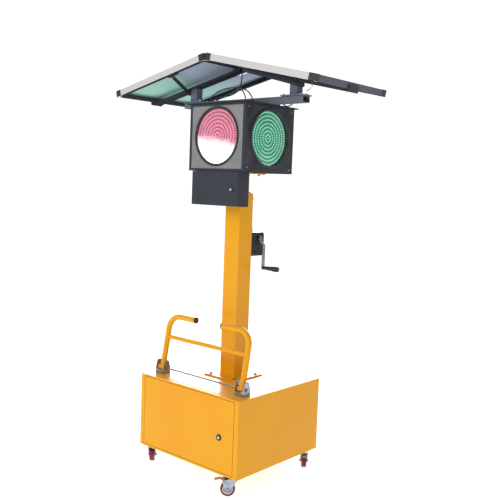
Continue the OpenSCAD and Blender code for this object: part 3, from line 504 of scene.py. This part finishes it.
def revolve(built, profile, turn, segments=48, closed=True):
    """Spins (radius, height) points round the Z axis of the matrix turn."""
    rings = []
    for step in range(segments):
        angle = 2 * math.pi * step / segments
        rings.append([built.verts.new(turn @ Vector((r * math.cos(angle), r * math.sin(angle), h)))
                      for r, h in profile])
    count = len(profile)
    last = count if closed else count - 1
    for step in range(segments):
        here, there = rings[step], rings[(step + 1) % segments]
        for k in range(last):
            n = (k + 1) % count
            built.faces.new((here[k], there[k], there[n], here[n]))


def axis_turn(place, axis, hint=(0, 0, 1)):
    """A matrix whose Z axis runs along axis from place."""
    z = Vector(axis).normalized()
    x = Vector(hint).cross(z)
    if x.length < 1e-6:
        x = Vector((1, 0, 0))
    x.normalize()
    y = z.cross(x)
    turn = Matrix((x, y, z)).transposed().to_4x4()
    turn.translation = Vector(place)
    return turn


def box_corners(name):
    """A node's low and high corners."""
    low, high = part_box(name)
    return Vector(low), Vector(high)


# ---- Wheels: tread, light core and bearing caps ----

TREAD_INSET = 0.0004
TREAD_HALF = 0.0145
TREAD_DEPTH = 0.0118
SHOULDER = 0.006
SPOKES = 5


def wheel_profile(radius, half, inner):
    """A worn tread with rounded shoulders and a mould line at each side."""
    points = []
    for k in range(7):
        angle = math.radians(90 * k / 6)
        points.append((radius - SHOULDER + SHOULDER * math.sin(angle),
                       half - SHOULDER + SHOULDER * math.cos(angle)))
    crown = [(radius + 0.0002, half * 0.45), (radius + 0.0003, 0.0),
             (radius + 0.0002, -half * 0.45)]
    mirrored = [(r, -h) for r, h in reversed(points)]
    return ([(inner, half - 0.0012), (inner + 0.003, half - 0.0003)] + points + crown + mirrored
            + [(inner + 0.003, 0.0003 - half), (inner, 0.0012 - half)])


def build_wheels():
    """A tread, a spoked core and bearing caps in place of each plain wheel."""
    for caster in ("front_right", "front_left", "back_right", "back_left"):
        place, axis = axle_of(caster + "_roll")
        low, high = box_corners(caster + "_wheel")
        radius = (high.z - low.z) / 2 - TREAD_INSET
        inner = radius - TREAD_DEPTH
        turn = axis_turn(place, axis)
        tread = new_piece(caster + "_tread", lambda built: revolve(
            built, wheel_profile(radius, TREAD_HALF, inner), turn, 72), MATERIALS["tread"],
            caster + "_roll")
        core = [(0.0056, 0.0158), (0.0112, 0.0158), (0.0122, 0.0148), (0.0124, 0.0060),
                (0.0150, 0.0050), (0.0195, 0.0048), (0.0210, 0.0058), (0.0220, 0.0118),
                (0.0232, 0.0132), (inner + 0.0002, 0.0134)]
        core += [(r, -h) for r, h in reversed(core)]

        def build_core(built):
            revolve(built, core, turn, 64)
            for side in (-1, 1):
                for k in range(SPOKES):
                    spoke = turn @ Matrix.Rotation(2 * math.pi * k / SPOKES, 4, "Z")
                    corners = [(0.0118, -0.0016), (0.0216, -0.0012), (0.0216, 0.0012),
                               (0.0118, 0.0016)]
                    faces = [[built.verts.new(spoke @ Vector((x, y, side * h)))
                              for x, y in corners] for h in (0.0045, 0.0108)]
                    built.faces.new(faces[1])
                    for i in range(4):
                        j = (i + 1) % 4
                        built.faces.new((faces[0][i], faces[0][j], faces[1][j], faces[1][i]))

        hub = new_piece(caster + "_core", build_core, MATERIALS["hub"], caster + "_roll")

        def build_cap(built):
            for side in (-1, 1):
                cap = turn @ Matrix.Diagonal((1, 1, side, 1))
                revolve(built, [(0.0058, 0.0159), (0.0095, 0.0163), (0.0105, 0.0160),
                                (0.0105, 0.0152), (0.0058, 0.0152)], cap, 40)

        cap = new_piece(caster + "_bearing", build_cap, MATERIALS["zinc"], caster + "_roll")
        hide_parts(caster + "_wheel")
        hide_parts(caster + "_wheel")
        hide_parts(caster + "_wheel")


# ---- Lamp units ----

HEAD_LOW, HEAD_HIGH = box_corners("head_housing")
HEAD_MID = (HEAD_LOW + HEAD_HIGH) / 2
HEAD_HALF = (HEAD_HIGH.x - HEAD_LOW.x) / 2
LENS_LOW, LENS_HIGH = box_corners("red_lenses")
LENS_MID_Z = (LENS_LOW.z + LENS_HIGH.z) / 2
LENS_R = (LENS_HIGH.z - LENS_LOW.z) / 2


def face_turn(k):
    """Lamp face k: Z runs out of the face, X to its right, the origin on the lens's axis."""
    spin = Matrix.Rotation(math.pi / 2 * k, 4, "Z")
    out = Matrix.Translation((HEAD_MID.x, HEAD_MID.y, LENS_MID_Z)) @ spin
    return out @ Matrix.Translation((0, -HEAD_HALF, 0)) @ Matrix.Rotation(math.pi / 2, 4, "X")


RING_PITCH = 0.0203
RINGS = 7
PIP_SPACING = 0.0134
PIP_RADIUS = 0.0060
RED_SET_BACK = 0.010
GREEN_SET_BACK = 0.019


def lamp_material(name, base, deep, painted_highlight):
    """Glowing lamp plastic; with painted_highlight set, a painted highlight fades it to white over
    its lower part.
    """
    paint = Paint(name, Specular_IOR_Level=0.3)
    uneven = paint.noise(26, 4, 0.6)
    tone = paint.mix(paint.step(uneven, 0.35, 0.65), base, deep)
    glow_tone = tone
    strength = 0.35
    if painted_highlight:
        # Painted highlight: the lower part turns near-white and glows brighter, standing in for
        # glare.
        height = paint.split(paint.place)[2]
        across = paint.split(paint.place)[0]
        ragged = paint.math("ADD", height, paint.math("MULTIPLY", across, 0.16))
        ragged = paint.math("ADD", ragged, paint.math("MULTIPLY", paint.noise(17, 4, 0.65), 0.07))
        low = paint.step(ragged, LENS_MID_Z + 0.036, LENS_MID_Z - 0.022)
        tone = paint.mix(low, tone, (1.0, 0.90, 0.92))
        glow_tone = tone
        strength = paint.step(low, 0, 1, 0.3, 0.85)
    paint.colour(tone)
    paint.roughness(paint.step(uneven, 0.3, 0.7, 0.22, 0.36))
    paint.normal(paint.bump(uneven, 0.1, 0.0004))
    paint.glow(glow_tone, strength)
    return paint.material


def build_disc(built, turn):
    """The lamp disc, with a low ridge under each ring of lamps."""
    profile = [(0.0, 0.0)]
    for ring in range(1, RINGS + 1):
        r = ring * RING_PITCH
        profile += [(r - 0.0088, -0.0012), (r - 0.0055, 0.0), (r - 0.003, 0.0014), (r, 0.002),
                    (r + 0.003, 0.0014), (r + 0.0055, 0.0)]
    profile = [(r, h) for r, h in profile if r < LENS_R - 0.002]
    profile.append((LENS_R - 0.002, 0.0))
    profile.append((LENS_R - 0.001, 0.006))
    revolve(built, [(max(r, 0.0004), h) for r, h in profile], turn, 96, closed=False)


def build_pips(built, turn, size):
    """Small domed lamps on seven rings, with one in the middle."""
    rows = [(0.0, 1)] + [(ring * RING_PITCH, round(2 * math.pi * ring * RING_PITCH / PIP_SPACING))
                         for ring in range(1, RINGS + 1)]
    for radius, count in rows:
        for k in range(count):
            angle = 2 * math.pi * (k + 0.5 * (count % 2)) / count
            centre = Vector((radius * math.cos(angle), radius * math.sin(angle), 0.0018))
            if centre.length > LENS_R - 0.003:
                continue
            rings = []
            for r, h in ((1.0, 0.0), (0.8, 0.45), (0.4, 0.78)):
                rings.append([built.verts.new(turn @ (centre + Vector((
                    size * r * math.cos(a * math.pi / 4), size * r * math.sin(a * math.pi / 4),
                    size * h)))) for a in range(8)])
            tip = built.verts.new(turn @ (centre + Vector((0, 0, size * 0.88))))
            for a in range(8):
                b = (a + 1) % 8
                for inner, outer in ((0, 1), (1, 2)):
                    built.faces.new((rings[inner][a], rings[inner][b],
                                     rings[outer][b], rings[outer][a]))
                built.faces.new((rings[2][a], rings[2][b], tip))


def clear_lens(name, tint):
    """The clear front lens, faintly tinted, with a fine moulded ripple."""
    paint = Paint(name, Transmission_Weight=1.0, IOR=1.33, Specular_IOR_Level=0.5)
    ripple = paint.noise(60, 2)
    paint.colour(paint.mix(paint.step(ripple, 0.3, 0.7), (1, 1, 1), tint))
    paint.roughness(paint.step(ripple, 0.3, 0.7, 0.0, 0.03))
    paint.normal(paint.bump(ripple, 0.02, 0.0004))
    return paint.material


def build_lens(built, turn):
    """A thin domed lens with a rim that sits in the ring."""
    rim, rise = LENS_R - 0.0006, 0.013
    outside = [(rim * k / 14, rise * (1 - (k / 14) ** 2) - 0.004) for k in range(15)]
    inside = [(r, h - 0.0012) for r, h in reversed(outside)]
    profile = [(max(r, 0.0003), h) for r, h in outside + inside]
    revolve(built, profile, turn, 96)


def build_lamps():
    """A disc, its lamps and a clear lens on each face: red front and back, green at the sides."""
    red_disc = lamp_material("red_disc", (0.52, 0.10, 0.17), (0.42, 0.15, 0.24), True)
    red_pip = lamp_material("red_pip", (0.95, 0.44, 0.55), (0.85, 0.33, 0.46), True)
    green_disc = lamp_material("green_disc", (0.022, 0.25, 0.16), (0.012, 0.17, 0.12), False)
    green_pip = lamp_material("green_pip", (0.36, 0.86, 0.62), (0.26, 0.70, 0.50), False)
    red_front = clear_lens("red_lens_clear", (1.0, 0.97, 0.98))
    green_front = clear_lens("green_lens_clear", (0.96, 1.0, 0.98))
    for k, side in enumerate(("front", "right", "back", "left")):
        red = k % 2 == 0
        set_back = RED_SET_BACK if red else GREEN_SET_BACK
        turn = face_turn(k)
        deep = turn @ Matrix.Translation((0, 0, -set_back))
        disc = new_piece("lamp_disc_" + side, lambda b: build_disc(b, deep),
                         red_disc if red else green_disc, "lamp_mast", smooth=50)
        pips = new_piece("lamp_pips_" + side, lambda b: build_pips(b, deep, PIP_RADIUS),
                         red_pip if red else green_pip, "lamp_mast", smooth=0)
        lens = new_piece("lamp_lens_" + side, lambda b: build_lens(b, turn),
                         red_front if red else green_front, "lamp_mast", smooth=60)
        node = "red_lenses" if red else "green_lenses"
        for piece in (disc, pips, lens):
            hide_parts(node)


# ---- Panel leads: smooth cables on the CAD routes ----

LEAD_RADIUS = 0.0035
LEFT_LEAD = [(-80, 91, 2278), (-80, 92, 2262), (-82, 90, 2225), (-88, 78, 2182), (-100, 44, 2152),
             (-118, 8, 2136), (-134, -28, 2120), (-139, -50, 2109), (-128, -61, 2108),
             (-104, -62, 2116), (-76, -60, 2127), (-15, -60, 2145), (37, -60, 2158),
             (62, -60, 2151), (77, -60, 2134), (87, -60, 2114), (90, -60, 2092)]
LOOP_LEAD = [(-160, -90, 2092), (-159, -90, 2100), (-148, -90, 2114), (-122, -90, 2135),
             (-72, -90, 2155), (-4, -90, 2165), (71, -90, 2159), (123, -90, 2144),
             (152, -90, 2119), (162, -90, 2104), (164, -90, 2092)]
RIGHT_LEAD = [(704, -285, 2130), (703, -282, 2122), (672, -240, 2114), (620, -180, 2115),
              (527, -80, 2123), (460, 0, 2133), (425, 50, 2135), (395, 72, 2124),
              (360, 77, 2106), (317, 80, 2088), (285, 85, 2075), (258, 90, 2073),
              (238, 93, 2082), (218, 95, 2098), (202, 96, 2107), (196, 96, 2103),
              (196, 96, 2092)]


def lead_piece(name, points):
    """A smooth cable through points given in millimetres."""
    curve = bpy.data.curves.new(name, "CURVE")
    curve.dimensions = "3D"
    curve.bevel_depth = LEAD_RADIUS
    curve.bevel_resolution = 5
    curve.resolution_u = 10
    curve.use_fill_caps = True
    spline = curve.splines.new("BEZIER")
    spline.bezier_points.add(len(points) - 1)
    for point, place in zip(spline.bezier_points, points):
        point.co = Vector(place) / 1000
        point.handle_left_type = point.handle_right_type = "AUTO"
    obj = bpy.data.objects.new(name, curve)
    curve.materials.append(MATERIALS["cable_black"])
    bpy.context.scene.collection.objects.link(obj)
    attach(obj, "lamp_mast")
    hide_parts("panel_leads")


def build_leads():
    """The three panel leads."""
    for name, points in (("left_lead", LEFT_LEAD), ("loop_lead", LOOP_LEAD),
                         ("right_lead", RIGHT_LEAD)):
        lead_piece(name, points)


# ---- Weld beads, lock faces and small fittings ----

POST_X = 0.375
POST_HALF = 0.025
HANDLE_LEAN = 10
HANDLE_HALF = 0.310
TUBE_RADIUS = 0.0165
BAR_WELD_RADIUS = 0.0128
BAR_HEIGHT = 0.181


def bead(built, points, radius, closed=True, ripple=0.18, spacing=0.0022):
    """A rippled weld bead along a polyline."""
    path = []
    count = len(points) if closed else len(points) - 1
    for i in range(count):
        a, b = Vector(points[i]), Vector(points[(i + 1) % len(points)])
        steps = max(2, int((b - a).length / spacing))
        path += [a.lerp(b, k / steps) for k in range(steps)]
    if not closed:
        path.append(Vector(points[-1]))
    rings = []
    for i, place in enumerate(path):
        ahead = path[(i + 1) % len(path)] if closed or i + 1 < len(path) else place
        behind = path[i - 1] if closed or i else place
        along = (ahead - behind).normalized()
        side = along.cross(Vector((0, 0, 1)))
        if side.length < 0.2:
            side = along.cross(Vector((1, 0, 0)))
        side.normalize()
        up = side.cross(along)
        size = radius * (1 + ripple * (i % 3 - 1))
        rings.append([built.verts.new(place + size * (math.cos(a) * side + math.sin(a) * up))
                      for a in (k * math.pi / 3 for k in range(6))])
    for i in range(len(rings) if closed else len(rings) - 1):
        here, there = rings[i], rings[(i + 1) % len(rings)]
        for k in range(6):
            n = (k + 1) % 6
            built.faces.new((here[k], here[n], there[n], there[k]))


def square_loop(low, high, z):
    """The four corners of a rectangle at height z."""
    return [(low[0], low[1], z), (high[0], low[1], z), (high[0], high[1], z), (low[0], high[1], z)]


def build_welds():
    """Beads at the mast's foot, the head plate, the posts and the handle's crossbar."""
    mast_low, mast_high = box_corners("mast_outer")
    new_piece("mast_foot_weld", lambda b: bead(b, square_loop(mast_low, mast_high, mast_low.z
                                                               + 0.001), 0.0034),
              MATERIALS["orange_paint"], "root", smooth=0)
    inner_low, inner_high = box_corners("mast_inner")
    new_piece("head_plate_weld", lambda b: bead(b, square_loop(inner_low, inner_high,
                                                               inner_high.z - 0.001), 0.003),
              MATERIALS["orange_paint"], "lamp_mast", smooth=0)

    def post_beads(built):
        low, high = box_corners("panel_posts")
        plate_top = box_corners("cross_arm")[1].z + 0.006
        for side in (-1, 1):
            x = side * POST_X
            mid = (low.y + high.y) / 2
            bead(built, square_loop((x - POST_HALF, mid - POST_HALF),
                                    (x + POST_HALF, mid + POST_HALF),
                                    plate_top + 0.001), 0.0026)

    new_piece("post_welds", post_beads, MATERIALS["black_paint"], "lamp_mast",
              smooth=0)

    def handle_beads(built):
        place, _ = axle_of("handle_fold")
        lean = Matrix.Translation(place) @ Matrix.Rotation(math.radians(-HANDLE_LEAN), 4, "X")
        for side in (-1, 1):
            ring = []
            for k in range(24):
                angle = 2 * math.pi * k / 24
                y = BAR_WELD_RADIUS * math.cos(angle)
                z = BAR_HEIGHT + BAR_WELD_RADIUS * math.sin(angle)
                inset = math.sqrt(TUBE_RADIUS ** 2 - y * y)
                ring.append(lean @ Vector((side * (HANDLE_HALF - inset - 0.0006), y, z)))
            bead(built, ring, 0.0018, spacing=0.0016)

    new_piece("crossbar_welds", handle_beads, MATERIALS["orange_paint"], "handle",
              smooth=0)


def build_locks():
    """A chrome plug with a black keyway of painted shade, set in a black bezel, on each door's
    lock.
    """
    for joint, body, radius, name in (("door_lock_turn", "door_lock", 0.015, "cabinet_key"),
                                      ("box_lock_turn", "box_lock", 0.013, "control_key")):
        place, _ = axle_of(joint)
        low, _ = box_corners("cabinet_lock" if body == "door_lock" else "control_lock")
        turn = axis_turn((place.x, low.y, place.z), (0, -1, 0))
        bezel = [(radius * 0.62, 0.0022), (radius * 0.70, 0.0030), (radius * 0.90, 0.0030),
                 (radius * 1.12, 0.0012), (radius * 1.16, -0.0030), (radius * 0.62, -0.0010)]
        new_piece(name + "_bezel", lambda b: revolve(b, bezel, turn, 48),
                  MATERIALS["black_plastic"], body)

        def build_plug(built):
            plug = [(0.0003, 0.0026), (radius * 0.42, 0.0026), (radius * 0.5, 0.0020),
                    (radius * 0.52, -0.0010), (0.0003, -0.0010)]
            revolve(built, plug, turn, 40)

        new_piece(name + "_plug", build_plug, MATERIALS["chrome"], body)

        # Painted shade: the keyway is a black solid raised on the plug, standing in for the shade
        # inside the slot.
        def build_keyway(built):
            outline = [(-0.0007, -0.0042), (0.0007, -0.0042), (0.0007, 0.0005), (0.0016, 0.0014),
                       (0.0016, 0.0030), (0.0008, 0.0040), (-0.0008, 0.0040), (-0.0016, 0.0030),
                       (-0.0016, 0.0014), (-0.0007, 0.0005)]
            faces = [[built.verts.new(turn @ Vector((x, y, h))) for x, y in outline]
                     for h in (0.0015, 0.0029)]
            built.faces.new(faces[1])
            for i in range(len(outline)):
                j = (i + 1) % len(outline)
                built.faces.new((faces[0][i], faces[0][j], faces[1][j], faces[1][i]))

        new_piece(name + "_keyway", build_keyway, MATERIALS["keyway"], body)


DRUM_TURNS = 7
TURN_STEPS = 20
DRUM_RADIUS = 0.027
DRUM_START_X = -0.0215
DRUM_WIDTH = 0.0355
ROPE_RADIUS = 0.0024


def build_drum_rope():
    """The turns of wire rope wound on the winch drum."""
    place, _ = axle_of("drum_turn")

    def build(built):
        path = []
        for k in range(DRUM_TURNS * TURN_STEPS + 1):
            angle = 2 * math.pi * k / TURN_STEPS
            x = DRUM_START_X + DRUM_WIDTH * k / (DRUM_TURNS * TURN_STEPS)
            path.append(Vector((x, place.y + DRUM_RADIUS * math.cos(angle),
                                place.z + DRUM_RADIUS * math.sin(angle))))
        rings = []
        for point in path:
            out = Vector((0, point.y - place.y, point.z - place.z)).normalized()
            rings.append([built.verts.new(point + ROPE_RADIUS * (
                math.cos(a) * out + math.sin(a) * Vector((1, 0, 0))))
                for a in (k * math.pi / 3 for k in range(6))])
        for here, there in zip(rings, rings[1:]):
            for k in range(6):
                n = (k + 1) % 6
                built.faces.new((here[k], here[n], there[n], there[k]))

    new_piece("drum_rope_turns", build, MATERIALS["wire_rope"], "drum", smooth=0)


# ---- The floor and the finished scene ----

FLOOR_HALF = 14


def build_floor():
    """A pale, glowing floor, so that its shadows stay faint."""
    size = FLOOR_HALF
    mesh = bpy.data.meshes.new("floor")
    mesh.from_pydata([(-size, -size, 0), (size, -size, 0), (size, size, 0), (-size, size, 0)], [],
                     [(0, 1, 2, 3)])
    obj = bpy.data.objects.new("floor", mesh)
    paint = Paint("floor_paint", Roughness=0.9)
    paint.colour((0.62, 0.62, 0.62))
    paint.glow((1.0, 1.0, 1.0), 0.78)
    mesh.materials.append(paint.material)
    bpy.context.scene.collection.objects.link(obj)


add_camera()
add_world()
add_area_light("key", (0.2, -4.9, 3.2), (0, 0, 1.2), (2.6, 2.2), 96)
add_area_light("fill", (4.8, -0.6, 2.6), (0, 0, 1.2), (2.5, 2.5), 10)
# Seen only in reflections.
back_wall = add_area_light("back_wall", (-2.5, 2.9, 1.5), (0, 0, 0.9), (4.6, 2.6), 380)
back_wall.visible_diffuse = False
back_wall.visible_transmission = False
add_area_light("back_fill", (-3.2, 4.2, 3.4), (0, 0, 1.2), (3.0, 2.4), 50)
build_floor()
dress_nodes()
build_wheels()
build_lamps()
build_leads()
build_welds()
build_locks()
build_drum_rope()
bpy.context.scene.view_settings.view_transform = "Standard"
